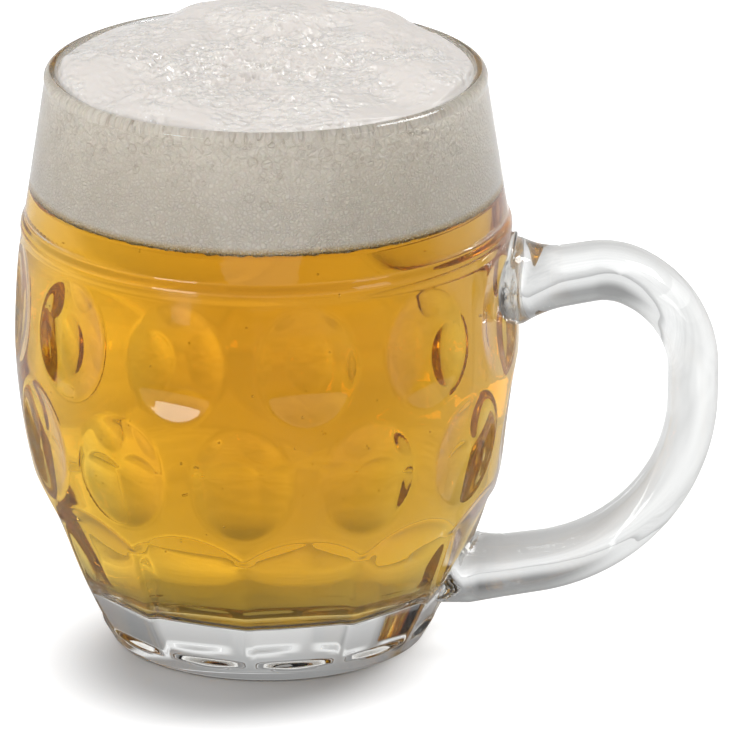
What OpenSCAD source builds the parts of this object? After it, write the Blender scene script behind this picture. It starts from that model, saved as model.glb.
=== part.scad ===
// Half-litre beer mug of pressed glass with thumbprint dimples, filled with lager under a head of foam.
// The mug stands on Z = 0 around the Z axis and its handle points along +X.

/* [Bowl] */
// Height of the rim above the table
rim_z = 121; // [110:0.5:135]
// Outer radius of the wall at the rim
rim_r = 45; // [42:0.1:48]
// Thickness of the wall at the rim
rim_wall = 2.6; // [1.8:0.1:4]
// Thickness of the fire-polished roll on the rim
rim_roll_d = 3.1; // [2.8:0.1:4.5]
// Height of the shoulder, where the collar meets the barrel
shoulder_z = 90; // [87:0.1:94]
// Largest outer radius of the barrel
barrel_r = 51.9; // [49:0.1:56]
// Radius of the barrel's upright curve
barrel_curve_r = 128; // [115:1:150]
// Height of the barrel's widest place
barrel_mid_z = 66; // [62:0.5:70]
// Thickness of the wall at the barrel's widest place
barrel_wall = 5; // [4:0.1:6.5]
// Height of the bead under the shoulder
bead_h = 3.6; // [2:0.1:5]
// How far the bead stands out from the barrel
bead_out = 0.45; // [0.3:0.05:0.8]

/* [Cavity] */
// Radius of the cavity's upright curve
cavity_curve_r = 118; // [108:1:130]
// Height of the cavity's widest place
cavity_mid_z = 70; // [66:0.5:74]
// Thickness of the glass under the middle of the cavity
floor_t = 11; // [8:0.5:16]
// Radius of the shallow bowl of the floor
floor_curve_r = 200; // [120:10:400]
// Radius of the corner between floor and wall
floor_corner_r = 8; // [5:0.5:10]

/* [Foot] */
// Radius of the rounded heel
heel_r = 3.2; // [2:0.1:5]
// Outer radius of the hollow under the foot
hollow_r = 25; // [15:0.5:28]
// Depth of the hollow under the foot
hollow_depth = 1.4; // [0.6:0.1:3]

/* [Dimples] */
// Number of dimples and panels round the mug
dimple_count = 12; // [10:1:13]
// Radius of the ball that presses each dimple
dimple_ball_r = 52; // [35:1:80]
// Depth of a dimple below the barrel
dimple_depth = 2.1; // [1.2:0.1:2.8]
// Height of the middles of the upper row
upper_row_z = 73.8; // [72:0.2:75]
// Height of the middles of the lower row
lower_row_z = 48.6; // [46:0.2:52]

/* [Panels] */
// Height at which the ridges between the panels begin
panel_top_z = 29.4; // [26:0.2:33]
// Height at which the panels run out into the foot
panel_foot_z = 4.5; // [4:0.5:9]
// Steepness of the ledge over a panel, which draws its arch
panel_ledge_angle = 60; // [45:1:66]
// Steepness of the run-out under a panel
panel_runout_angle = 62; // [45:1:75]
// Depth of the ridges below the round barrel
ridge_sink = 0.6; // [0.2:0.05:0.8]

/* [Handle] */
// Reach of the grip's centre line from the mug's axis
grip_x = 87.8; // [80:0.2:100]
// Height at which the lower bend becomes upright
grip_low_z = 53.7; // [50:0.1:58]
// Height at which the upright grip turns into the upper bend
grip_high_z = 59.2; // [58.5:0.1:66]
// Radius of the lower bend
lower_bend_r = 38.4; // [32:0.2:42]
// Radius of the upper bend
upper_bend_r = 21.2; // [19.2:0.2:24]
// Angle on the upper bend at which its tighter crest begins
crest_angle = 66; // [55:1:75]
// Radius of the crest
crest_r = 14; // [10:0.5:19]
// Slope of the lower arm
lower_arm_angle = 10; // [8:1:20]
// Slope of the upper arm
upper_arm_angle = 11; // [8:1:22]
// Thickness of the grip in the plane of the loop
grip_t = 10.4; // [8:0.2:13]
// Width of the grip across the loop
grip_w = 17; // [13:0.5:21]
// Thickness that the arms gain on their way from the grip to the roots
arm_t = 1.6; // [0:0.2:3]
// Width that the arms gain on their way from the grip to the roots
arm_w = 1.5; // [0:0.5:3]
// Thickness that the upper root gains at the wall
upper_root_t = 6.5; // [2:0.5:10]
// Thickness that the lower root gains at the wall
lower_root_t = 2.5; // [1:0.5:6]
// Width that a root gains at the wall
root_w = 2.5; // [0:0.5:12]
// Length over which an arm flares into its root
root_len = 10; // [8:0.5:20]
// How far the middle of a root climbs the wall
root_lift = 1.2; // [0:0.1:3]

/* [Filling] */
// Depth of the foam between the rim and the beer
foam_depth = 25; // [12:0.5:28]
// Height of the middle of the foam's crown above the rim
crown_h = 2; // [1:0.1:3]
// Depth of the foam's edge below the rim
crown_edge_drop = 1; // [0.5:0.1:3]
// Radius of the rounded edge of the crown's lumps
crown_roll_r = 6; // [4:0.5:9]
// Number of soft lumps round the crown
lump_count = 7; // [5:1:9]
// Distance of the lumps' middles from the mug's axis
lump_ring_r = 31; // [26:0.5:34]
// Radius of the ball that a lump is part of
lump_ball_r = 40; // [30:1:50]
// Height of the highest lump above the rim
lump_h = 4.3; // [3.6:0.1:5.5]

/* [Hidden] */
$fn = 144;

// Overlaps of shapes that are joined in one outline
lap = 0.5;
heel_lap = 0.2;
// Angles at which the cavity's corner and the heel meet the wall
corner_join_angle = 20;
heel_join_angle = 25;
// Rings and sides of the handle's loft
arc_rings = 16;
crest_rings = 7;
root_rings = 9;
loft_sides = 28;
// Squareness of the handle's oval section
oval_power = 2.3;
// How deep the loft starts inside the wall before it is trimmed
root_inset = 7;
// Place of the first lump round the axis, and each lump's share of the highest one
lump_turn = 39;
lump_shares = [0.72, 1, 0.7, 0.88, 0.82, 0.72, 0.76];
// Clearance of the lumps' edge from the mouth
crown_gap = 0.4;

// Outer radius of the barrel and radius of the cavity at a height
function barrel_at(z) = barrel_r - barrel_curve_r + sqrt(barrel_curve_r ^ 2 - (z - barrel_mid_z) ^ 2);
function cavity_at(z) =
    barrel_r - barrel_wall - cavity_curve_r + sqrt(cavity_curve_r ^ 2 - (z - cavity_mid_z) ^ 2);
// Height of the floor at a radius
function floor_at(r) = floor_t + floor_curve_r - sqrt(floor_curve_r ^ 2 - r ^ 2);

barrel_centre = [barrel_r - barrel_curve_r, barrel_mid_z];
collar_r = barrel_at(shoulder_z);
roll_z = rim_z - rim_roll_d / 2;
roll_r = rim_r - rim_wall / 2;
mouth_r = rim_r - rim_wall;
neck_r = cavity_at(shoulder_z);

// The heel is an arc that meets the barrel at heel_join_angle, and the hollow is a cap of a ball
heel_join_z = heel_r * (1 - sin(heel_join_angle));
heel_foot_r = barrel_at(heel_join_z) - heel_r * cos(heel_join_angle);
hollow_curve_r = (hollow_r ^ 2 + hollow_depth ^ 2) / (2 * hollow_depth);

// The bead is an arc over bead_h that stands bead_out proud of the barrel
bead_curve_r = bead_h ^ 2 / (8 * bead_out) + bead_out / 2;
bead_z = shoulder_z - bead_h / 2;
bead_centre_r = barrel_at(bead_z) + bead_out - bead_curve_r;

// The corner circle passes through the floor and, at corner_join_angle, through the wall
corner_z = floor_at(cavity_at(floor_t + floor_corner_r) - floor_corner_r) + floor_corner_r;
corner_join_z = corner_z - floor_corner_r * sin(corner_join_angle);
corner_r = cavity_at(corner_join_z) - floor_corner_r * cos(corner_join_angle);

// Panels are flat across, so their middles lie nearer the axis than their ridges
pitch = 360 / dimple_count;
function panel_at(z) = (barrel_at(z) - ridge_sink) * cos(pitch / 2);
panel_top = [panel_at(panel_top_z), panel_top_z];
panel_foot = [panel_at(panel_foot_z), panel_foot_z];
panel_chord = panel_top - panel_foot;
panel_half = norm(panel_chord) / 2;
panel_inward = [-panel_chord.y, panel_chord.x] / norm(panel_chord);
panel_centre =
    (panel_top + panel_foot) / 2 + panel_inward * sqrt(barrel_curve_r ^ 2 - panel_half ^ 2);
panel_w = 2 * barrel_r * tan(pitch / 2);
panel_reach = barrel_r - panel_foot.x + heel_r;

// Levels of the filling
beer_z = rim_z - foam_depth;
crown_edge_z = rim_z - crown_edge_drop;
crown_rise = crown_h + crown_edge_drop;
crown_curve_r = (mouth_r ^ 2 + crown_rise ^ 2) / (2 * crown_rise);
crown_r = mouth_r - crown_gap;

// Centre line of the handle in its plane: [x, z, heading], from the lower root to the upper root
lower_bend_centre = [grip_x - lower_bend_r, grip_low_z];
upper_bend_centre = [grip_x - upper_bend_r, grip_high_z];
function on_lower_bend(a) = [each lower_bend_centre + lower_bend_r * [cos(a), sin(a)], a + 90];
function on_upper_bend(a) = [each upper_bend_centre + upper_bend_r * [cos(a), sin(a)], a + 90];
crest_centre = upper_bend_centre + (upper_bend_r - crest_r) * [cos(crest_angle), sin(crest_angle)];
function on_crest(a) = [each crest_centre + crest_r * [cos(a), sin(a)], a + 90];
function step_back(p, d) = [p.x - d * cos(p.z), p.y - d * sin(p.z), p.z];
lower_bend_start = on_lower_bend(lower_arm_angle - 90);
crest_end = on_crest(90 + upper_arm_angle);
// Length of a straight arm from its bend to the starting place inside the wall
function arm_len(p) = (p.x - barrel_at(p.y)) / abs(cos(p.z)) + root_inset;
lower_arm = arm_len(lower_bend_start);
upper_arm = arm_len(crest_end);
path = [
    for (i = [0 : root_rings - 1]) step_back(lower_bend_start, lower_arm * (1 - i / root_rings)),
    for (i = [0 : arc_rings])
        on_lower_bend(lower_arm_angle - 90 + (90 - lower_arm_angle) * i / arc_rings),
    for (i = [0 : arc_rings]) on_upper_bend(crest_angle * i / arc_rings),
    for (i = [1 : crest_rings])
        on_crest(crest_angle + (90 + upper_arm_angle - crest_angle) * i / crest_rings),
    for (i = [1 : root_rings]) step_back(crest_end, -upper_arm * i / root_rings)
];

// Share of the arm's taper, from 0 at the grip to 1 at the wall, and of the root's flare, all near the wall
function wall_gap(p) = max(0, p.x - barrel_at(p.y));
function arm_share(p) = max(0, 1 - wall_gap(p) / (grip_x - barrel_r));
function root_share(p) = max(0, 1 - wall_gap(p) / root_len) ^ 2;
function root_t(p) = p.y > grip_low_z ? upper_root_t : lower_root_t;
function oval(a) = sign(cos(a)) * abs(cos(a)) ^ (2 / oval_power);
function ring(p) = [
    let (t = grip_t + arm_t * arm_share(p) + root_t(p) * root_share(p))
    let (w = grip_w + arm_w * arm_share(p) + root_w * root_share(p))
    let (z = p.y + root_lift * root_share(p))
    for (k = [0 : loft_sides - 1])
        let (a = 360 * k / loft_sides)
        let (out = t / 2 * oval(a))
        [p.x + out * sin(p.z), w / 2 * oval(a - 90), z - out * cos(p.z)]
];

module bowl_outline() {
    difference() {
        union() {
            // Barrel above the heel
            intersection() {
                translate(barrel_centre)
                    circle(r = barrel_curve_r);
                translate([0, heel_join_z - heel_lap])
                    square([barrel_r, shoulder_z - heel_join_z + heel_lap]);
            }
            // Rounded heel and the flat it stands on
            translate([heel_foot_r, heel_r])
                circle(r = heel_r);
            square([heel_foot_r, heel_r]);
            // Collar
            polygon([[0, shoulder_z - lap], [collar_r, shoulder_z - lap], [rim_r, roll_z], [0, roll_z]]);
            // Bead under the shoulder
            translate([bead_centre_r, bead_z])
                circle(r = bead_curve_r);
        }
        // Hollow under the foot
        translate([0, hollow_depth - hollow_curve_r])
            circle(r = hollow_curve_r);
    }
}

module rim_roll() {
    translate([roll_r, roll_z])
        circle(d = rim_roll_d);
}

module cavity_outline(top_z) {
    intersection() {
        union() {
            // Wall
            intersection() {
                translate([barrel_r - barrel_wall - cavity_curve_r, cavity_mid_z])
                    circle(r = cavity_curve_r);
                translate([0, corner_join_z - lap])
                    square([barrel_r, shoulder_z - corner_join_z + lap]);
            }
            // Neck
            polygon([[0, shoulder_z - lap], [neck_r, shoulder_z], [mouth_r, rim_z], [0, rim_z]]);
            // Corner and floor
            translate([corner_r, corner_z])
                circle(r = floor_corner_r);
            intersection() {
                translate([0, floor_t + floor_curve_r])
                    circle(r = floor_curve_r);
                square([corner_r, corner_z]);
            }
        }
        square([barrel_r, top_z]);
    }
}

// Section of the cut that presses one panel: flat across, curved like the barrel, with an arching ledge
module panel_outline() {
    top_run = panel_reach * tan(panel_ledge_angle);
    foot_run = panel_reach * tan(panel_runout_angle);
    inside = [lap, lap * tan(panel_ledge_angle)];
    inside_foot = [lap, -lap * tan(panel_runout_angle)];
    difference() {
        polygon([
            panel_top - inside,
            panel_top + [panel_reach, top_run],
            panel_foot + [panel_reach, -foot_run],
            panel_foot - inside_foot
        ]);
        translate(panel_centre)
            circle(r = barrel_curve_r);
    }
}

// Ball that presses one dimple, square to the barrel at its height
module dimple_ball(z) {
    tilt = asin((z - barrel_mid_z) / barrel_curve_r);
    out = barrel_curve_r - dimple_depth + dimple_ball_r;
    translate([barrel_centre.x + out * cos(tilt), 0, barrel_mid_z + out * sin(tilt)])
        sphere(r = dimple_ball_r);
}

// Bowl before it is hollowed, with every panel and dimple pressed into it
module pressed_bowl() {
    difference() {
        rotate_extrude()
            bowl_outline();
        for (k = [0 : dimple_count - 1]) {
            // A lower dimple stands over the ridge between two panels
            rotate([0, 0, k * pitch])
                dimple_ball(lower_row_z);
            rotate([0, 0, (k + 0.5) * pitch]) {
                rotate([90, 0, 0])
                    linear_extrude(height = panel_w, center = true)
                        panel_outline();
                dimple_ball(upper_row_z);
            }
        }
    }
}

module glass_body() {
    color([0.86, 0.92, 0.9, 0.45]) {
        difference() {
            pressed_bowl();
            rotate_extrude()
                cavity_outline(rim_z);
        }
        rotate_extrude()
            rim_roll();
    }
}

module handle() {
    rings = [for (p = path) ring(p)];
    last = len(rings) - 1;
    sides = [
        for (i = [0 : last - 1])
            for (k = [0 : loft_sides - 1])
                let (n = (k + 1) % loft_sides)
                [i * loft_sides + k, i * loft_sides + n, (i + 1) * loft_sides + n, (i + 1) * loft_sides + k]
    ];
    ends = [
        [for (k = [loft_sides - 1 : -1 : 0]) k],
        [for (k = [0 : loft_sides - 1]) last * loft_sides + k]
    ];
    color([0.9, 0.94, 0.93, 0.45])
        difference() {
            polyhedron(points = [for (r = rings) each r], faces = concat(sides, ends), convexity = 4);
            pressed_bowl();
        }
}

module beer() {
    color([0.86, 0.6, 0.12, 0.8])
        rotate_extrude()
            cavity_outline(beer_z);
}

// Foam between the beer and the rim, under a shallow dome
module foam_outline() {
    intersection() {
        cavity_outline(crown_edge_z);
        translate([0, beer_z])
            square([barrel_r, rim_z]);
    }
    intersection() {
        translate([0, rim_z + crown_h - crown_curve_r])
            circle(r = crown_curve_r);
        translate([0, crown_edge_z - lap])
            square([mouth_r, crown_rise + 2 * lap]);
    }
}

// Space that the lumps of the crown fill, with a rounded edge over the rim
module crown_outline() {
    translate([0, crown_edge_z - lap])
        square([crown_r - crown_roll_r, crown_roll_r + lap]);
    intersection() {
        translate([crown_r - crown_roll_r, crown_edge_z])
            circle(r = crown_roll_r);
        translate([0, crown_edge_z - lap])
            square([crown_r, crown_roll_r + 2 * lap]);
    }
}

module crown_lumps() {
    for (k = [0 : lump_count - 1])
        rotate([0, 0, lump_turn + k * 360 / lump_count])
            translate([lump_ring_r, 0, rim_z + lump_h * lump_shares[k % len(lump_shares)] - lump_ball_r])
                sphere(r = lump_ball_r);
}

module foam_head() {
    color([0.95, 0.92, 0.86])
        difference() {
            union() {
                rotate_extrude()
                    foam_outline();
                intersection() {
                    crown_lumps();
                    rotate_extrude()
                        crown_outline();
                }
            }
            rotate_extrude()
                rim_roll();
        }
}

glass_body();
handle();
beer();
foam_head();
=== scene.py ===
import math
import random

import bmesh
import bpy
from mathutils import Matrix, Vector, noise


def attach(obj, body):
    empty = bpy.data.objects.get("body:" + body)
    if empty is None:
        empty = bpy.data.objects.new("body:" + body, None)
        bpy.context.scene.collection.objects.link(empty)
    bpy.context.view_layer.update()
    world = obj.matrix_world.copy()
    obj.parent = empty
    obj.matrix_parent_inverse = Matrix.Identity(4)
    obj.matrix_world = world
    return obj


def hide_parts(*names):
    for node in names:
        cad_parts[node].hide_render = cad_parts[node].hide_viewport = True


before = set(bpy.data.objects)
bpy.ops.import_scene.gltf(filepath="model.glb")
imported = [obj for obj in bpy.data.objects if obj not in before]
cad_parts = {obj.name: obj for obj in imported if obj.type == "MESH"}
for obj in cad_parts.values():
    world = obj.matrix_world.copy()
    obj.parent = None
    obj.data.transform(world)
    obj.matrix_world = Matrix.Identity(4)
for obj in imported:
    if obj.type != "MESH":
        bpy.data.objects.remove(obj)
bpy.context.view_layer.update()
scene = bpy.context.scene
scene.view_settings.view_transform = "Standard"
lightBounces = 32   # light runs far inside thick glass
for kind in ("max_bounces", "glossy_bounces", "transmission_bounces"):
    setattr(scene.cycles, kind, lightBounces)
mm = 0.001
print("frame loaded:", sorted(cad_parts))


# Shader maths: a socket with operators, and one method that adds any node

class Wire:
    def __init__(self, bench, socket):
        self.bench = bench
        self.socket = socket

    def calc(self, operation, *terms):
        return self.bench.node("ShaderNodeMath", {"operation": operation}, dict(enumerate(terms)))

    def __add__(self, other):
        return self.calc("ADD", self, other)

    __radd__ = __add__

    def __sub__(self, other):
        return self.calc("SUBTRACT", self, other)

    def __rsub__(self, other):
        return self.calc("SUBTRACT", other, self)

    def __mul__(self, other):
        return self.calc("MULTIPLY", self, other)

    __rmul__ = __mul__

    def __truediv__(self, other):
        return self.calc("DIVIDE", self, other)

    def __rtruediv__(self, other):
        return self.calc("DIVIDE", other, self)

    def least(self, other):
        return self.calc("MINIMUM", self, other)

    def most(self, other):
        return self.calc("MAXIMUM", self, other)


class Bench:
    def __init__(self, tree):
        self.tree = tree
        tree.nodes.clear()

    def node(self, kind, settings=None, sockets=None, out=0):
        made = self.tree.nodes.new(kind)
        for name, value in (settings or {}).items():
            setattr(made, name, value)
        for name, value in (sockets or {}).items():
            if isinstance(value, Wire):
                self.tree.links.new(value.socket, made.inputs[name])
            elif value is not None:
                made.inputs[name].default_value = value
        return Wire(self, made.outputs[out]) if made.outputs else made

    def ramp(self, value, low, high):
        return self.node("ShaderNodeMapRange", {"interpolation_type": "SMOOTHSTEP"},
                         {"Value": value, "From Min": low, "From Max": high})

    def blend(self, factor, first, second):
        return self.node("ShaderNodeMix", {"data_type": "RGBA", "blend_type": "MIX"},
                         {0: factor, 6: first, 7: second}, out=2)

    def grey(self, level):
        return self.blend(level, (0.0, 0.0, 0.0, 1.0), (1.0, 1.0, 1.0, 1.0))

    def noise(self, place, scale, detail=2.0, roughness=0.5):
        return self.node("ShaderNodeTexNoise", None,
                         {"Vector": place, "Scale": scale, "Detail": detail, "Roughness": roughness})

    def cells(self, place, scale, feature="F1", out="Distance"):
        return self.node("ShaderNodeTexVoronoi", {"feature": feature},
                         {"Vector": place, "Scale": scale}, out=out)


def newMaterial(name):
    material = bpy.data.materials.new(name)
    material.use_nodes = True
    bench = Bench(material.node_tree)
    return material, bench


def finishMaterial(bench, surface, volume=None):
    bench.node("ShaderNodeOutputMaterial", None, {"Surface": surface, "Volume": volume})


# Curves of the mug, in millimetres, as the solids have them

bowl = {
    "rimZ": 121.0, "rimR": 45.0, "rimWall": 2.6, "rollD": 3.1,
    "shoulderZ": 90.0, "barrelR": 51.9, "barrelCurve": 128.0, "barrelMidZ": 66.0, "wall": 5.0,
    "beadH": 3.6, "beadOut": 0.45,
    "cavityCurve": 118.0, "cavityMidZ": 70.0, "floorT": 11.0, "floorCurve": 200.0, "cornerR": 8.0,
    "heelR": 3.2, "hollowR": 25.0, "hollowDepth": 1.4,
    "columns": 12, "ballR": 52.0, "dimpleDepth": 2.1, "upperZ": 73.8, "lowerZ": 48.6,
    "panelTopZ": 29.4, "panelFootZ": 4.5, "ledgeAngle": 60.0, "runoutAngle": 62.0, "ridgeSink": 0.6,
    "softEdge": 0.22, "headSoft": 2.3, "landDrop": 0.2, "landSoft": 0.1,
    "panelReach": 11.0, "landReach": 1.0, "dimpleReach": 18.0,
    "pressZ": 0.3, "footR": 26.0, "footRise": 3.0, "pressIn": 1.5, "wetIn": 0.5, "wetFloor": 0.1,
    "beadFrom": 5.0, "beadTo": 2.0, "beadSoft": 0.15, "rollSoft": 0.1, "lipH": 2.0, "hollowGap": 0.8,
    "segments": 456,
    "rings": {"hollow": 6, "foot": 2, "heel": 6, "wall": 122, "bead": 18, "collar": 3, "lip": 5, "roll": 10,
              "cavity": 24, "corner": 8, "floor": 8},
}
rollZ = bowl["rimZ"] - bowl["rollD"] / 2
rollR = bowl["rimR"] - bowl["rimWall"] / 2
mouthR = bowl["rimR"] - bowl["rimWall"]
pitch = 2 * math.pi / bowl["columns"]


def softMin(a, b, k):
    h = max(k - abs(a - b), 0.0) / k
    return min(a, b) - h * h * k / 4


def softMax(a, b, k):
    return -softMin(-a, -b, k)


def arcAt(top, curve, midZ, z):
    return top - curve + math.sqrt(curve ** 2 - (z - midZ) ** 2)


def barrelAt(z):
    return arcAt(bowl["barrelR"], bowl["barrelCurve"], bowl["barrelMidZ"], z)


def cavityArc(z):
    return arcAt(bowl["barrelR"] - bowl["wall"], bowl["cavityCurve"], bowl["cavityMidZ"], z)


def lineAt(z, z0, r0, z1, r1):
    return r0 + (r1 - r0) * (z - z0) / (z1 - z0)


def rollReach(z):
    return math.sqrt(max((bowl["rollD"] / 2) ** 2 - (z - rollZ) ** 2, 0.0))


def outerAt(z):
    shoulder = bowl["shoulderZ"]
    if z > shoulder:
        r = lineAt(z, shoulder, barrelAt(shoulder), rollZ, bowl["rimR"])
    else:
        r = barrelAt(z)
    curve = bowl["beadH"] ** 2 / (8 * bowl["beadOut"]) + bowl["beadOut"] / 2
    beadZ = shoulder - bowl["beadH"] / 2
    if abs(z - beadZ) < curve:
        bead = barrelAt(beadZ) + bowl["beadOut"] - curve + math.sqrt(curve ** 2 - (z - beadZ) ** 2)
        r = softMax(r, bead, bowl["beadSoft"])
    if z > rollZ - bowl["rollD"] / 2:
        r = softMax(r, rollR + rollReach(z), bowl["rollSoft"])
    return r


def innerAt(z):
    shoulder = bowl["shoulderZ"]
    if z > shoulder:
        r = lineAt(z, shoulder, cavityArc(shoulder), bowl["rimZ"], mouthR)
    else:
        r = cavityArc(z)
    if z > rollZ - bowl["rollD"] / 2:
        r = softMin(r, rollR - rollReach(z), bowl["rollSoft"])
    return r


def steps(start, end, count):
    return [start + (end - start) * i / count for i in range(count + 1)]


def floorAt(r):
    return bowl["floorT"] + bowl["floorCurve"] - math.sqrt(bowl["floorCurve"] ** 2 - r ** 2)


cornerR = bowl["cornerR"]
cornerZ = floorAt(cavityArc(bowl["floorT"] + cornerR) - cornerR) + cornerR
cornerJoin, cornerEnd = math.radians(20), math.radians(82)
cornerJoinZ = cornerZ - cornerR * math.sin(cornerJoin)
cornerMidR = cavityArc(cornerJoinZ) - cornerR * math.cos(cornerJoin)


def cavitySection(topZ, swell, count):
    points = [(innerAt(z) + swell, z) for z in steps(topZ, cornerJoinZ, count)]
    for a in steps(cornerJoin, cornerEnd, bowl["rings"]["corner"])[1:]:
        reach = cornerR + swell
        points.append((cornerMidR + reach * math.cos(a), cornerZ - reach * math.sin(a)))
    edgeR = points[-1][0]
    drop = points[-1][1] - floorAt(edgeR)
    for r in steps(edgeR, 0.0, bowl["rings"]["floor"])[1:]:
        near = (r / edgeR) ** 8   # eases the corner into the floor
        points.append((r, floorAt(r) + drop * near - swell * (1 - near)))
    return points


def bowlSection():
    heelJoin = math.radians(25)
    heelR = bowl["heelR"]
    heelZ = heelR * (1 - math.sin(heelJoin))
    footR = barrelAt(heelZ) - heelR * math.cos(heelJoin)
    hollowCurve = (bowl["hollowR"] ** 2 + bowl["hollowDepth"] ** 2) / (2 * bowl["hollowDepth"])
    points = [(r, bowl["hollowDepth"] - hollowCurve + math.sqrt(hollowCurve ** 2 - r * r))
              for r in steps(0.0, bowl["hollowR"], bowl["rings"]["hollow"])]
    points += [(r, 0.0) for r in steps(bowl["hollowR"] + bowl["hollowGap"], footR, bowl["rings"]["foot"])]
    for a in steps(-math.pi / 2, -heelJoin, bowl["rings"]["heel"])[1:]:
        points.append((footR + heelR * math.cos(a), heelR + heelR * math.sin(a)))
    beadFoot, beadHead = bowl["shoulderZ"] - bowl["beadFrom"], bowl["shoulderZ"] + bowl["beadTo"]
    lipZ = rollZ - bowl["lipH"]
    for low, high, stretch in ((heelZ, beadFoot, "wall"), (beadFoot, beadHead, "bead"),
                               (beadHead, lipZ, "collar"), (lipZ, rollZ, "lip")):
        points += [(outerAt(z), z) for z in steps(low, high, bowl["rings"][stretch])[1:]]
    for a in steps(0.0, math.pi, bowl["rings"]["roll"])[1:-1]:
        points.append((rollR + bowl["rollD"] / 2 * math.cos(a), rollZ + bowl["rollD"] / 2 * math.sin(a)))
    points += [(innerAt(z), z) for z in steps(rollZ, lipZ, bowl["rings"]["lip"])]
    return points + cavitySection(lipZ, 0.0, bowl["rings"]["cavity"])[1:]


# Radius of the pressed outside at an angle and a height: the round bowl with its dimples and panels

def panelFace(turn, z):
    def ridge(at):
        return (barrelAt(at) - bowl["ridgeSink"]) * math.cos(pitch / 2)
    top, foot = bowl["panelTopZ"], bowl["panelFootZ"]
    headSoft = bowl["softEdge"] + bowl["headSoft"] * max(0.0, 1 - (2 * turn / pitch) ** 2)
    ledge = ridge(top) + (z - top) / math.tan(math.radians(bowl["ledgeAngle"]))
    runout = ridge(foot) + (foot - z) / math.tan(math.radians(bowl["runoutAngle"]))
    return softMax(softMax(ridge(z), ledge, headSoft), runout, bowl["softEdge"])


def dimpleFace(turn, z, rowZ):
    tilt = math.asin((rowZ - bowl["barrelMidZ"]) / bowl["barrelCurve"])
    out = bowl["barrelCurve"] - bowl["dimpleDepth"] + bowl["ballR"]
    ballR = bowl["barrelR"] - bowl["barrelCurve"] + out * math.cos(tilt)
    ballZ = bowl["barrelMidZ"] + out * math.sin(tilt)
    inside = bowl["ballR"] ** 2 - (z - ballZ) ** 2 - (ballR * math.sin(turn)) ** 2
    return ballR * math.cos(turn) - math.sqrt(inside) if inside > 0 else 1e3   # well outside of the bowl


def fromColumn(angle, offset):
    return (angle - offset + pitch / 2) % pitch - pitch / 2


pressedKnown = {}   # the pattern repeats from column to column


def pressedAt(angle, z, r):
    onRidge = fromColumn(angle, 0.0)
    onPanel = fromColumn(angle, pitch / 2)
    key = (round(abs(onPanel), 5), round(z, 4), round(r, 4))
    if key not in pressedKnown:
        pressedKnown[key] = pressAt(onRidge, onPanel, z, r)
    return pressedKnown[key]


def pressAt(onRidge, onPanel, z, r):
    soft = bowl["softEdge"]
    if z < bowl["panelTopZ"] + bowl["panelReach"]:
        near = panelFace(onPanel, z) / math.cos(onPanel)
        far = panelFace(pitch - abs(onPanel), z) / math.cos(pitch - abs(onPanel))
        pressed = softMin(near, far, soft)
        if z < bowl["panelTopZ"] + bowl["landReach"]:   # narrow lands stand between the panels
            pressed = softMin(pressed, barrelAt(z) - bowl["ridgeSink"] - bowl["landDrop"], bowl["landSoft"])
        r = softMin(r, pressed, soft)
    if abs(z - bowl["lowerZ"]) < bowl["dimpleReach"]:
        r = softMin(r, dimpleFace(onRidge, z, bowl["lowerZ"]), soft)
    if abs(z - bowl["upperZ"]) < bowl["dimpleReach"]:
        r = softMin(r, dimpleFace(onPanel, z, bowl["upperZ"]), soft)
    return r


# Mesh helpers

def spinSection(points, segments):
    mesh = bmesh.new()
    line = [mesh.verts.new((r, 0.0, z)) for r, z in points]
    edges = [mesh.edges.new(pair) for pair in zip(line, line[1:])]
    bmesh.ops.spin(mesh, geom=line + edges, cent=(0, 0, 0), axis=(0, 0, 1), dvec=(0, 0, 0),
                   angle=2 * math.pi, steps=segments, use_merge=True, use_duplicate=False)
    bmesh.ops.remove_doubles(mesh, verts=mesh.verts, dist=1e-5)
    bmesh.ops.recalc_face_normals(mesh, faces=mesh.faces)
    return mesh


def makePiece(mesh, name, looks, slotName, *nodes):
    bmesh.ops.scale(mesh, vec=(mm, mm, mm), verts=mesh.verts)
    for face in mesh.faces:
        face.smooth = True
    data = bpy.data.meshes.new(name)
    mesh.to_mesh(data)
    mesh.free()
    piece = bpy.data.objects.new(name, data)
    scene.collection.objects.link(piece)
    for look in looks:
        data.materials.append(look)
    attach(piece, "root")
    if nodes:
        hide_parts(*nodes)
    print(name, len(data.polygons), "faces")


# Lager up to the foam; its facts stand here because the wall is wetted up to there

beer = {
    "topZ": 96.0, "swell": 0.06, "topRings": (0.0, 15.0, 30.0), "rings": 64, "segments": 156,
    "ior": 1.34, "mirror": 0.1, "absorb": (0.965, 0.8, 0.02), "density": 52.0,
    "hazeScale": 30.0, "clear": (1.0, 0.99, 0.97), "hazy": (1.0, 0.97, 0.93),
    "bubbles": 80, "bubbleSizes": (0.1, 0.28), "bubbleZ": (24.0, 93.0), "bubbleGap": 1.2,
    "bubbleSpread": 0.35, "bubbleGrain": 900.0, "bubbleRough": 0.02, "bubbleIor": 0.75, "seed": 11,
}


# Clear pressed glass, a little wavy from the mould

glassLook = {"tint": (0.985, 0.995, 0.99), "ior": 1.5, "waveScale": 55.0, "waveDepth": 0.00004,
             "fineTimes": 9, "fineShare": 0.04, "grain": 0.012, "wettedMirror": 0.1}


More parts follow.
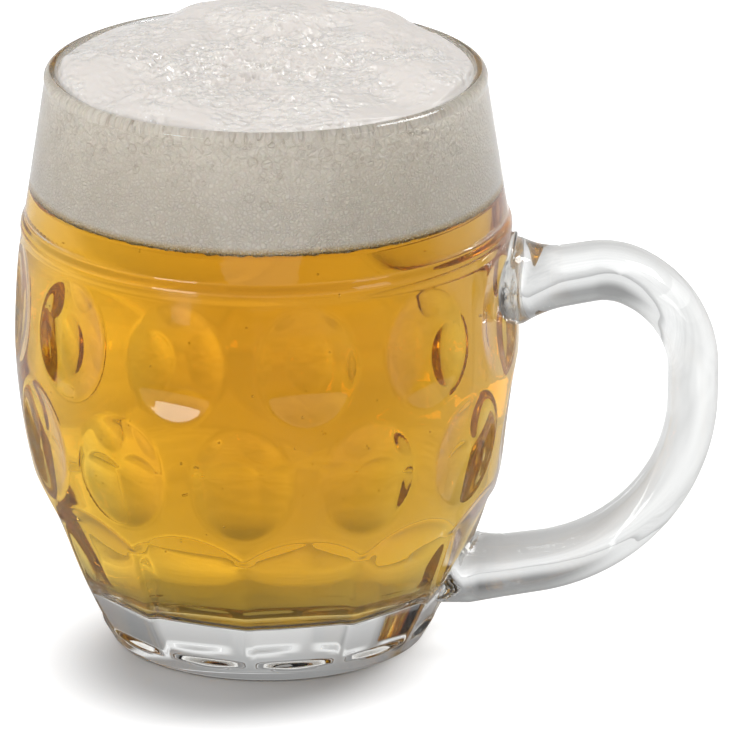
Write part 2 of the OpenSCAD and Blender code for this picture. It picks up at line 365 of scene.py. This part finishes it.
def makeGlass(name, mirror):
    material, bench = newMaterial(name)
    place = bench.node("ShaderNodeTexCoord", out="Object")
    waves = bench.noise(place, glassLook["waveScale"], 1.0)
    fine = bench.noise(place, glassLook["waveScale"] * glassLook["fineTimes"], 2.0)
    bump = bench.node("ShaderNodeBump", None, {
        "Strength": 1.0, "Distance": glassLook["waveDepth"], "Height": waves + fine * glassLook["fineShare"]})
    shader = bench.node("ShaderNodeBsdfPrincipled", None, {
        "Base Color": (*glassLook["tint"], 1.0), "Roughness": fine * glassLook["grain"],
        "IOR": glassLook["ior"], "Specular Tint": (mirror, mirror, mirror, 1.0),
        "Transmission Weight": 1.0, "Normal": bump})
    finishMaterial(bench, shader)
    return material


clearGlass = makeGlass("clearGlass", 1.0)
wettedGlass = makeGlass("wettedGlass", glassLook["wettedMirror"])   # touches lager or glass, so mirrors less


def makeBowl():
    mesh = spinSection(bowlSection(), bowl["segments"])
    for vert in mesh.verts:
        x, y, z = vert.co
        r = math.hypot(x, y)
        outside = bowl["footR"] if z < bowl["floorT"] + bowl["footRise"] else innerAt(z) + bowl["pressIn"]
        if bowl["pressZ"] < z < bowl["shoulderZ"] and r > outside:
            pressed = pressedAt(math.atan2(y, x), z, r)
            vert.co.x *= pressed / r
            vert.co.y *= pressed / r
    for face in mesh.faces:
        middle = face.calc_center_median()
        r = math.hypot(middle.x, middle.y)
        wetted = bowl["floorT"] - bowl["wetFloor"] < middle.z < beer["topZ"]
        if wetted and r < innerAt(middle.z) + bowl["wetIn"]:
            face.material_index = 1
    makePiece(mesh, "glassBowl", (clearGlass, wettedGlass), "clear_glass", "glass_body")


makeBowl()


# Solid handle: a loop lofted from oval rings, flared where it runs into the wall

loop = {
    "gripX": 87.8, "lowZ": 53.7, "highZ": 59.2, "lowerBend": 38.4, "upperBend": 21.2,
    "crestAngle": 66.0, "crest": 14.0, "lowerArm": 10.0, "upperArm": 11.0,
    "gripT": 10.4, "gripW": 17.0, "armT": 1.6, "armW": 1.5,
    "upperRootT": 6.5, "lowerRootT": 2.5, "rootW": 2.5, "rootLen": 10.0, "rootLift": 1.2, "ovalPower": 2.3,
    "sides": 48, "arcRings": 36, "crestRings": 14, "armRings": 22, "sink": 0.12,
    "overlap": 1.0, "ringGap": 0.4, "gapRings": 3, "capShares": (0.8, 0.6, 0.4, 0.2),
}


def bendPoint(midX, midZ, radius, angle):
    return midX + radius * math.cos(angle), midZ + radius * math.sin(angle), angle + math.pi / 2


def handlePath():
    lowMid = (loop["gripX"] - loop["lowerBend"], loop["lowZ"], loop["lowerBend"])
    highMid = (loop["gripX"] - loop["upperBend"], loop["highZ"], loop["upperBend"])
    first = math.radians(loop["lowerArm"] - 90)
    turn = math.radians(loop["crestAngle"])
    last = math.radians(90 + loop["upperArm"])
    inward = loop["upperBend"] - loop["crest"]
    crestMid = (highMid[0] + inward * math.cos(turn), highMid[1] + inward * math.sin(turn), loop["crest"])
    path = [bendPoint(*lowMid, a) for a in steps(first, 0.0, loop["arcRings"])]
    path += [bendPoint(*highMid, a) for a in steps(0.0, turn, loop["arcRings"])]
    path += [bendPoint(*crestMid, a) for a in steps(turn, last, loop["crestRings"])[1:]]
    x, z, heading = path[0]
    reach = (x - barrelAt(z)) / math.cos(heading)
    lead = [(x - d * math.cos(heading), z - d * math.sin(heading), heading)
            for d in steps(reach + loop["overlap"], 0.0, loop["armRings"])[:-1]]
    x, z, heading = path[-1]
    reach = (x - barrelAt(z)) / -math.cos(heading)
    tail = [(x + d * math.cos(heading), z + d * math.sin(heading), heading)
            for d in steps(0.0, reach + loop["overlap"], loop["armRings"])[1:]]
    return lead + path + tail


def ovalPower(c):
    return math.copysign(abs(c) ** (2 / loop["ovalPower"]), c)


def handleRing(x, z, heading):
    gap = max(0.0, x - barrelAt(z))
    arm = max(0.0, 1 - gap / (loop["gripX"] - bowl["barrelR"]))
    root = max(0.0, 1 - gap / loop["rootLen"]) ** 2
    t = loop["gripT"] + loop["armT"] * arm + loop["upperRootT" if z > loop["lowZ"] else "lowerRootT"] * root
    w = loop["gripW"] + loop["armW"] * arm + loop["rootW"] * root
    z += loop["rootLift"] * root
    ring = []
    for k in range(loop["sides"]):
        a = 2 * math.pi * k / loop["sides"]
        out = t / 2 * ovalPower(math.cos(a))
        across = w / 2 * ovalPower(math.sin(a))
        ring.append(Vector((x + out * math.sin(heading), across, z - out * math.cos(heading))))
    return ring


# Lays a root's point on the pressed wall, a hair inside the glass, so that light passes the joint
def ontoWall(point):
    angle = math.atan2(point.y, point.x)
    r = pressedAt(angle, point.z, outerAt(point.z)) - loop["sink"]
    return Vector((math.sqrt(max(r * r - point.y ** 2, 1.0)), point.y, point.z))


def extrudeRing(mesh, rim, edges, points, look=0):
    made = bmesh.ops.extrude_edge_only(mesh, edges=edges)["geom"]
    fresh = {g for g in made if isinstance(g, bmesh.types.BMVert)}
    newEdges = [g for g in made if isinstance(g, bmesh.types.BMEdge) and set(g.verts) <= fresh]
    for face in made:
        if isinstance(face, bmesh.types.BMFace):
            face.material_index = look
    newRim = []
    for vert, point in zip(rim, points):
        mate = next(e.other_vert(vert) for e in vert.link_edges if e.other_vert(vert) in fresh)
        mate.co = point
        newRim.append(mate)
    return newRim, newEdges


def makeHandle():
    rings = [handleRing(*place) for place in handlePath()]
    for ring in (rings[0], rings[-1]):
        ring[:] = [ontoWall(point) for point in ring]
    for arm in (range(1, loop["armRings"]), range(-2, -loop["armRings"], -1)):
        for i in arm:   # keep the arm's rings outside of the wall
            for k, point in enumerate(rings[i]):
                wall = ontoWall(point)
                if point.x < wall.x + loop["ringGap"] * abs(i):
                    clear = loop["ringGap"] * min(abs(i), loop["gapRings"])
                    rings[i][k] = Vector((wall.x + clear, point.y, point.z))
    mesh = bmesh.new()
    start = bmesh.ops.create_circle(mesh, cap_ends=False, segments=loop["sides"], radius=1.0)["verts"]
    for vert, point in zip(start, rings[0]):
        vert.co = point
    rim, edges = list(start), list(mesh.edges)
    lowerRim, lowerEdges = rim, edges
    for ring in rings[1:]:
        rim, edges = extrudeRing(mesh, rim, edges, ring)
    for capRim, capEdges in ((lowerRim, lowerEdges), (rim, edges)):   # caps that follow the wall
        edge = [v.co.copy() for v in capRim]
        middle = sum(edge, Vector()) / len(edge)
        for share in loop["capShares"]:
            inset = [ontoWall(middle + (point - middle) * share) for point in edge]
            capRim, capEdges = extrudeRing(mesh, capRim, capEdges, inset, 1)
        for face in bmesh.ops.contextual_create(mesh, geom=capEdges)["faces"]:
            face.material_index = 1
    bmesh.ops.recalc_face_normals(mesh, faces=mesh.faces)
    makePiece(mesh, "glassHandle", (clearGlass, wettedGlass), "clear_glass", "handle")


makeHandle()


# Lager: a clear golden liquid in contact with the wall

def makeLagerLook():
    material, bench = newMaterial("lager")
    place = bench.node("ShaderNodeTexCoord", out="Object")
    haze = bench.noise(place, beer["hazeScale"], 2.0)
    tint = bench.blend(haze, (*beer["clear"], 1.0), (*beer["hazy"], 1.0))
    shader = bench.node("ShaderNodeBsdfPrincipled", None, {
        "Base Color": tint, "Roughness": 0.0, "IOR": beer["ior"],
        "Specular Tint": (beer["mirror"], beer["mirror"], beer["mirror"], 1.0), "Transmission Weight": 1.0})
    depth = bench.node("ShaderNodeVolumeAbsorption", None,
                       {"Color": (*beer["absorb"], 1.0), "Density": beer["density"]})
    finishMaterial(bench, shader, depth)
    return material


lagerLook = makeLagerLook()


def makeLager():
    section = [(r, beer["topZ"]) for r in beer["topRings"]]
    section += cavitySection(beer["topZ"], beer["swell"], beer["rings"])
    makePiece(spinSection(section, beer["segments"]), "lagerFill", (lagerLook,), "lager", "beer")


makeLager()


# Foam: a crown with lumps and burst bubbles over a wet wall of fine foam

foam = {
    "baseZ": 96.0, "edgeZ": 120.0, "crown": 2.0, "rollR": 6.0, "crownGap": 0.4,
    "lumpTurn": 39.0, "lumpRing": 31.0, "lumpBall": 40.0, "lumpH": 4.3,
    "lumpShares": (0.72, 1.0, 0.7, 0.88, 0.82, 0.72, 0.76), "lumpBlend": 0.8,
    "plateau": 3.0, "plateauX": 2.0, "plateauReach": (19.0, 31.0), "plateauFrom": (14.0, 31.0),
    "shelfDrop": 1.5, "shelfBlend": 3.0, "frontDrop": 0.9, "frontReach": 22.0,
    "flankDrop": 1.8, "flankReach": (18.0, 28.0), "flankFrom": 15.0, "edgeBlend": 1.2, "domeBlend": 2.4,
    "tornMid": (6.0, -2.0), "tornSpread": 600.0, "tornLeast": 0.2, "tornGain": 0.9,
    "tornChance": 0.6, "tornScale": 0.06, "tornFloor": 0.08,
    "billow": 0.7, "billowScale": 0.07, "tear": 1.2, "tearSink": 0.3, "tearScale": 0.17,
    "bursts": ((0.13, 1.1, 0.3), (0.3, 0.7, 0.34), (0.62, 0.4, 0.4)),   # scale, depth and width
    "burstRim": 0.35, "burstRimAt": 1.15, "burstRimWide": 0.2, "calmEdge": 10,
    "swell": 0.03, "segments": 440, "rings": 160, "wallRings": 40, "baseRings": (38.0, 26.0, 13.0, 0.0),
    "hemR": 40.0, "hemH": 0.3, "hem": 0.35, "hemScale": 0.9, "hemSeed": 5.0, "seed": 40.0, "topZ": 125.2,
    "skin": {   # heights in millimetres, scales in cells to the metre
        "white": (0.67, 0.63, 0.595), "bubblyPaintedLight": (0.75, 0.71, 0.67), "creamPaintedLight": (0.98, 0.9, 0.79),
        "film": (0.68, 0.58, 0.46), "amber": (0.72, 0.5, 0.2),
        "sideFrom": (118.5, 120.5), "rimFrom": (104.0, 117.0), "wetFrom": (95.9, 97.6),
        "wetCells": (0.12, 0.4), "driftScale": 70.0, "patchScale": 95.0, "patchFrom": (0.4, 0.56),
        "latherScale": 240.0, "fineCells": 2200.0, "beadCells": 1000.0, "pearlCells": 520.0,
        "smallCells": 1250.0, "smallWall": (0.02, 0.22), "largeCells": 600.0, "largeWall": (0.01, 0.12),
        "rimShare": 0.6, "dome": (0.0, 0.3), "wobbleScale": 420.0, "wobble": 0.0012,
        "rings": ((300.0, 0.55), (640.0, 0.6)), "ringSize": (0.14, 0.3), "ringLine": 0.07, "ringLeast": 0.4,
        "filmShare": (0.2, 0.3), "ringFilm": 0.3, "paintedGlint": (0.06, 0.24),
        "cellBump": 0.5, "latherBump": 0.6, "domeBump": 0.8, "ringBump": 0.4,
        "bump": 0.8, "bumpDepth": 0.0006, "roughness": (0.2, 0.25), "ior": 1.4, "coatRoughness": 0.07,
        "inside": 0.12, "insideReach": (0.004, 0.003, 0.002), "insideScale": 0.25,
    },
}
foamRise = foam["crown"] + bowl["rimZ"] - foam["edgeZ"]
foamCurve = (mouthR ** 2 + foamRise ** 2) / (2 * foamRise)


def easeIn(value, low, high):
    t = min(max((value - low) / (high - low), 0.0), 1.0)
    return t * t * (3 - 2 * t)


def crownHeight(x, y, r):
    lumps = 0.0
    for k, share in enumerate(foam["lumpShares"]):
        a = math.radians(foam["lumpTurn"]) + k * 2 * math.pi / len(foam["lumpShares"])
        gap = (x - foam["lumpRing"] * math.cos(a)) ** 2 + (y - foam["lumpRing"] * math.sin(a)) ** 2
        if gap < foam["lumpBall"] ** 2:
            top = bowl["rimZ"] + foam["lumpH"] * share
            ball = top - foam["lumpBall"] + math.sqrt(foam["lumpBall"] ** 2 - gap)
            lumps = softMax(lumps, ball, foam["lumpBlend"])
    reach = max(r - (mouthR - foam["crownGap"] - foam["rollR"]), 0.0)
    edge = foam["edgeZ"] + math.sqrt(max(foam["rollR"] ** 2 - reach ** 2, 0.0))
    dome = bowl["rimZ"] + foam["crown"] - foamCurve + math.sqrt(foamCurve ** 2 - r ** 2)
    aside = abs(x - foam["plateauX"])
    back = (1 - easeIn(aside, *foam["plateauReach"])) * easeIn(y, *foam["plateauFrom"])
    shelf = bowl["rimZ"] - foam["shelfDrop"] + (foam["plateau"] + foam["shelfDrop"]) * back
    front = foam["frontDrop"] * easeIn(-y, 0.0, foam["frontReach"])
    flank = foam["flankDrop"] * easeIn(aside, *foam["flankReach"]) * easeIn(y, 0.0, foam["flankFrom"])
    lumps -= front + flank   # low in front and at the sides, with a broad back
    lumps = softMax(lumps, shelf, foam["shelfBlend"])
    return softMax(dome, softMin(lumps, edge, foam["edgeBlend"]), foam["domeBlend"])


# Billows, torn ridges and burst bubbles, most of them round the middle
def foamRelief(x, y, r):
    place = Vector((x, y, foam["seed"]))
    midX, midY = foam["tornMid"]
    away = (x - midX) ** 2 + (y - midY) ** 2
    torn = foam["tornLeast"] + foam["tornGain"] * math.exp(-away / foam["tornSpread"])
    torn += foam["tornChance"] * noise.noise(place * foam["tornScale"])
    torn = min(max(torn, foam["tornFloor"]), 1.0)
    relief = foam["billow"] * noise.fractal(place * foam["billowScale"], 1.0, 2.0, 3)
    ridges = abs(noise.fractal(place * foam["tearScale"], 1.0, 2.1, 2))
    relief += torn * (foam["tear"] * ridges - foam["tearSink"])
    for scale, deep, wide in foam["bursts"]:
        near = noise.voronoi(place * scale)[0][0] / wide
        rim = foam["burstRim"] * math.exp(-((near - foam["burstRimAt"]) / foam["burstRimWide"]) ** 2)
        relief -= torn * deep * (max(0.0, 1 - near ** 2) - rim)
    return relief * (1 - (r / mouthR) ** foam["calmEdge"])


# Outlines of single bubbles: circles of chance sizes round some of the cell middles
def bubbleRings(bench, place, scale, share):
    skin = foam["skin"]
    least, spread = skin["ringSize"]
    chance = bench.cells(place, scale, out="Color")
    size = bench.node("ShaderNodeSeparateColor", None, {"Color": chance}, out="Red") * spread + least
    picked = bench.node("ShaderNodeSeparateColor", None, {"Color": chance}, out="Green")
    away = bench.cells(place, scale) - size
    line = 1 - bench.ramp(away.most(0 - away), 0.0, skin["ringLine"])
    return line * bench.ramp(share - picked, -0.02, 0.02)


def makeFoamLook():
    skin = foam["skin"]
    material, bench = newMaterial("lagerFoam")
    place = bench.node("ShaderNodeTexCoord", out="Object")
    height = bench.node("ShaderNodeSeparateXYZ", None, {"Vector": place}, out="Z") / mm
    side = 1 - bench.ramp(height, *skin["sideFrom"])   # pressed against the glass
    rim = bench.ramp(height, *skin["rimFrom"])   # larger bubbles towards the rim
    wet = 1 - bench.ramp(height, *skin["wetFrom"])   # lager between the lowest bubbles
    drift = bench.noise(place, skin["driftScale"], 3.0)
    patchy = bench.ramp(bench.noise(place, skin["patchScale"], 3.0), *skin["patchFrom"])   # wet and bubbly
    fine = bench.cells(place, skin["fineCells"])
    beads = bench.cells(place, skin["beadCells"])
    pearls = bench.cells(place, skin["pearlCells"])
    shake = bench.node("ShaderNodeTexNoise", None,
                       {"Vector": place, "Scale": skin["wobbleScale"]}, out="Color")
    wobble = bench.node("ShaderNodeVectorMath", {"operation": "SCALE"}, {0: shake, "Scale": skin["wobble"]})
    shaken = bench.node("ShaderNodeVectorMath", {"operation": "ADD"}, {0: place, 1: wobble})
    rings = sum(bubbleRings(bench, shaken, scale, rim * share) for scale, share in skin["rings"])
    rings = rings * side * (skin["ringLeast"] + drift)
    small = bench.cells(shaken, skin["smallCells"], "DISTANCE_TO_EDGE")
    large = bench.cells(shaken, skin["largeCells"], "DISTANCE_TO_EDGE")
    smallPart = 1 - rim * skin["rimShare"]
    walls = (1 - bench.ramp(small, *skin["smallWall"])) * smallPart
    walls = walls + (1 - bench.ramp(large, *skin["largeWall"])) * rim * skin["rimShare"]
    filmLeast, filmDrift = skin["filmShare"]
    film = walls * side * (filmLeast + drift * filmDrift) + rings * skin["ringFilm"]
    # painted light: the bubbly patches get a paler tone that makes up for the shade their bumps and coat give
    crown = bench.blend(patchy, (*skin["white"], 1.0), (*skin["bubblyPaintedLight"], 1.0))
    # painted highlights: white specks in the crown's bubbly patches stand in for glints on wet bubbles
    paintedGlints = (1 - bench.ramp(beads, *skin["paintedGlint"])) * patchy
    crown = bench.blend(paintedGlints, crown, (1.0, 1.0, 1.0, 1.0))
    # the side against the glass takes a paler, warmer cream than the crown: partly the wet foam's own tone,
    # partly painted light for the light the glass takes away and the warm light from the lager
    pale = bench.blend(side, crown, (*skin["creamPaintedLight"], 1.0))
    pale = bench.blend(film, pale, (*skin["film"], 1.0))
    shade = bench.blend(wet * bench.ramp(fine, *skin["wetCells"]), pale, (*skin["amber"], 1.0))
    lather = bench.noise(place, skin["latherScale"], 4.0, 0.6)
    domes = (1 - beads * beads) * 0.5 + (1 - pearls * pearls * 2)
    pressed = bench.ramp(small, *skin["dome"]) * smallPart + bench.ramp(large, *skin["dome"]) * rim
    torn = lather * skin["latherBump"] + domes * patchy * skin["domeBump"]
    bumpHeight = pressed * side * skin["cellBump"] + torn * (1 - side) + rings * skin["ringBump"]
    bump = bench.node("ShaderNodeBump", None, {
        "Strength": skin["bump"], "Distance": skin["bumpDepth"], "Height": bumpHeight})
    smooth, rough = skin["roughness"]
    shader = bench.node("ShaderNodeBsdfPrincipled", None, {
        "Base Color": shade, "Roughness": smooth + drift * rough, "Normal": bump, "IOR": skin["ior"],
        "Coat Weight": patchy * (1 - side), "Coat Roughness": skin["coatRoughness"],
        "Subsurface Weight": skin["inside"], "Subsurface Radius": skin["insideReach"],
        "Subsurface Scale": skin["insideScale"]})
    finishMaterial(bench, shader)
    return material


foamLook = makeFoamLook()


def makeFoam():
    section = [(r, foam["edgeZ"]) for r in steps(0.0, mouthR, foam["rings"])[:-1]]
    section += [(innerAt(z) + foam["swell"], z)
                for z in steps(foam["edgeZ"], foam["baseZ"], foam["wallRings"])]
    section += [(r, foam["baseZ"]) for r in foam["baseRings"]]
    mesh = spinSection(section, foam["segments"])
    for vert in mesh.verts:
        x, y, z = vert.co
        r = math.hypot(x, y)
        if z > foam["edgeZ"] - 1e-4:
            r = min(r, mouthR)
            vert.co.z = min(crownHeight(x, y, r) + foamRelief(x, y, r), foam["topZ"])
        elif z < foam["baseZ"] + foam["hemH"] and r > foam["hemR"]:   # an uneven edge on the lager
            uneven = noise.noise(Vector((x, y, foam["hemSeed"])) * foam["hemScale"])
            vert.co.z -= foam["hem"] + foam["hem"] * uneven
    bmesh.ops.recalc_face_normals(mesh, faces=mesh.faces)
    makePiece(mesh, "foamHead", (foamLook,), "foam", "foam_head")


makeFoam()


# Rising bubbles: little balls of air inside the lager

def makeBubbleLook():
    material, bench = newMaterial("bubbleAir")
    place = bench.node("ShaderNodeTexCoord", out="Object")
    shader = bench.node("ShaderNodeBsdfPrincipled", None, {
        "Base Color": (1.0, 1.0, 1.0, 1.0), "IOR": beer["bubbleIor"], "Transmission Weight": 1.0,
        "Roughness": bench.noise(place, beer["bubbleGrain"]) * beer["bubbleRough"]})
    finishMaterial(bench, shader)
    return material


bubbleLook = makeBubbleLook()


def makeBubbles():
    chance = random.Random(beer["seed"])
    mesh = bmesh.new()
    for i in range(beer["bubbles"]):
        z = chance.uniform(*beer["bubbleZ"])
        angle = chance.uniform(0, 2 * math.pi)
        reach = innerAt(z) - beer["bubbleGap"]
        r = reach * (1 - beer["bubbleSpread"] * chance.random() ** 2)
        size = chance.uniform(*beer["bubbleSizes"])
        bmesh.ops.create_icosphere(mesh, subdivisions=2, radius=size, matrix=Matrix.Translation(
            (r * math.cos(angle), r * math.sin(angle), z)))
    makePiece(mesh, "risingBubbles", (bubbleLook,), "lager")


makeBubbles()


# Studio: a white floor with painted light and shade where glass shows it, a key from the back right, fills in
# front and a pale sky

studio = {
    "elevation": 19.2, "azimuth": 6.0, "distance": 1523.4, "lens": 361.65, "aimZ": 60.5,
    "aimRight": 20.75, "aimDown": 4.02,
    "sky": 0.75, "skyLean": 1.3, "skyInGlass": 0.32, "horizonInGlass": 0.86,
    "skyAim": (-0.8, -0.6, 0.0), "skyLeast": 0.05, "horizonFrom": (0.02, 0.35),
    "floorSize": 6.0, "floorZ": -0.0002, "floorPaint": 0.8, "floorSeen": 0.58, "floorLift": 0.8,
    "shadowMid": (-0.004, -0.022), "shadowReach": (0.02, 0.049),
    "floorMid": 0.435, "sideGlow": 0.22, "sideFrom": (-0.02, 0.05), "sideEnd": (0.055, 0.1), "sideLeft": 0.2,
    "nearGlow": 0.15, "nearFrom": (0.02, 0.1), "farGlow": 0.1, "farFrom": (0.08, 0.36),
    "streakScale": 38.0, "streaks": 0.3, "streakFrom": (0.0, 0.05),
    "floorInGlass": 0.03, "frontShadeShare": 0.5, "frontFrom": (-0.12, 0.03),
    "lamps": {   # place, aim, size and power
        "key": ((0.7, 0.4, 1.05), (0.0, 0.0, 0.06), (0.5, 0.5), 8.7),
        "leftBox": ((-0.88, -1.21, 0.28), (0.0, 0.0, 0.08), (0.55, 0.22), 2.4),
        "rightBox": ((1.1, -0.75, 0.55), (0.0, 0.0, 0.08), (0.4, 0.4), 1.0),
    },
}


def makeCamera():
    data = bpy.data.cameras.new("photoCamera")
    camera = bpy.data.objects.new("photoCamera", data)
    scene.collection.objects.link(camera)
    e, a = math.radians(studio["elevation"]), math.radians(studio["azimuth"])
    away = Vector((-math.sin(a) * math.cos(e), math.cos(a) * math.cos(e), -math.sin(e)))
    right = Vector((math.cos(a), math.sin(a), 0.0))
    up = right.cross(away)
    middle = Vector((0.0, 0.0, studio["aimZ"]))
    camera.location = (middle - away * studio["distance"]) * mm
    aim = (middle + right * studio["aimRight"] - up * studio["aimDown"]) * mm
    camera.rotation_euler = (aim - camera.location).to_track_quat("-Z", "Y").to_euler()
    data.lens = studio["lens"]
    data.sensor_width = 36.0
    data.clip_start, data.clip_end = 0.05, 50.0
    scene.camera = camera


# Rays from the camera, and rays that the camera sends on through glass or off it
def seenBy(bench):
    ray = {name: bench.node("ShaderNodeLightPath", out=name)
           for name in ("Is Camera Ray", "Is Glossy Ray", "Is Transmission Ray", "Diffuse Depth")}
    throughGlass = ray["Is Glossy Ray"].most(ray["Is Transmission Ray"])
    return ray["Is Camera Ray"], throughGlass * (1 - ray["Diffuse Depth"].least(1))


def makeWorld():
    world = bpy.data.worlds.new("studioSky")
    world.use_nodes = True
    scene.world = world
    bench = Bench(world.node_tree)
    direct, inGlass = seenBy(bench)
    aim = bench.node("ShaderNodeTexCoord", out="Generated")
    rise = bench.node("ShaderNodeSeparateXYZ", None, {"Vector": aim}, out="Z")
    lean = bench.node("ShaderNodeVectorMath", {"operation": "DOT_PRODUCT"},
                      {0: aim, 1: studio["skyAim"]}, out="Value")
    around = (studio["sky"] + lean * (studio["sky"] * studio["skyLean"])).most(studio["skyLeast"])
    fall = studio["horizonInGlass"] - studio["skyInGlass"]
    glass = studio["skyInGlass"] + (1 - bench.ramp(rise, *studio["horizonFrom"])) * fall
    level = (around * (1 - inGlass) + glass * inGlass).most(direct)
    light = bench.node("ShaderNodeBackground", None, {"Color": (1.0, 1.0, 1.0, 1.0), "Strength": level})
    bench.node("ShaderNodeOutputWorld", None, {"Surface": light})


def makeFloor():
    mesh = bmesh.new()
    bmesh.ops.create_grid(mesh, x_segments=4, y_segments=4, size=studio["floorSize"])
    data = bpy.data.meshes.new("floor")
    mesh.to_mesh(data)
    mesh.free()
    floor = bpy.data.objects.new("floor", data)
    scene.collection.objects.link(floor)
    floor.location.z = studio["floorZ"]
    material, bench = newMaterial("paleFloor")
    direct, inGlass = seenBy(bench)
    place = bench.node("ShaderNodeTexCoord", out="Object")
    away = bench.node("ShaderNodeVectorMath", {"operation": "DISTANCE"},
                      {0: place, 1: (*studio["shadowMid"], 0.0)}, out="Value")
    clear = bench.ramp(away, *studio["shadowReach"])   # the floor glows less beside the foot: a painted shadow on top of the real one
    lift = direct * clear * studio["floorLift"] + inGlass * studio["floorInGlass"]
    # painted light and shade in what glass sees of the floor: a band of light to the right, brighter farther
    # back, darker close behind the foot and in front
    right = bench.node("ShaderNodeSeparateXYZ", None, {"Vector": place}, out="X")
    behind = bench.node("ShaderNodeSeparateXYZ", None, {"Vector": place}, out="Y")
    ending = 1 - bench.ramp(right, *studio["sideEnd"]) * (1 - studio["sideLeft"])
    level = studio["floorMid"] + bench.ramp(right, *studio["sideFrom"]) * ending * studio["sideGlow"]
    level = level + bench.ramp(behind, *studio["nearFrom"]) * studio["nearGlow"]
    level = level + bench.ramp(behind, *studio["farFrom"]) * studio["farGlow"]
    streaks = bench.noise(place, studio["streakScale"], 1.0) - 0.5   # painted streaks of light that stand in for what the glass throws down
    level = level * (1 + streaks * studio["streaks"] * bench.ramp(behind, *studio["streakFrom"]))
    front = bench.ramp(behind, *studio["frontFrom"]) * (1 - studio["frontShadeShare"])
    level = level * (studio["frontShadeShare"] + front)
    plain = studio["floorPaint"] + direct * (studio["floorSeen"] - studio["floorPaint"])
    tone = bench.blend(inGlass, bench.grey(plain), bench.grey(level))
    paint = bench.node("ShaderNodeBsdfDiffuse", None, {"Color": tone})
    glow = bench.node("ShaderNodeEmission", None, {"Color": bench.grey(lift), "Strength": 1.0})
    finishMaterial(bench, bench.node("ShaderNodeAddShader", None, {0: paint, 1: glow}))
    data.materials.append(material)


def makeLamp(name, place, aim, size, power):
    data = bpy.data.lights.new(name, "AREA")
    data.shape = "RECTANGLE"
    data.size, data.size_y = size
    data.energy = power
    lamp = bpy.data.objects.new(name, data)
    scene.collection.objects.link(lamp)
    lamp.location = place
    lamp.rotation_euler = (Vector(aim) - Vector(place)).to_track_quat("-Z", "Y").to_euler()
    lamp.visible_camera = False


makeCamera()
makeWorld()
makeFloor()
for lampName, lampFacts in studio["lamps"].items():
    makeLamp(lampName, *lampFacts)
print("studio ready")
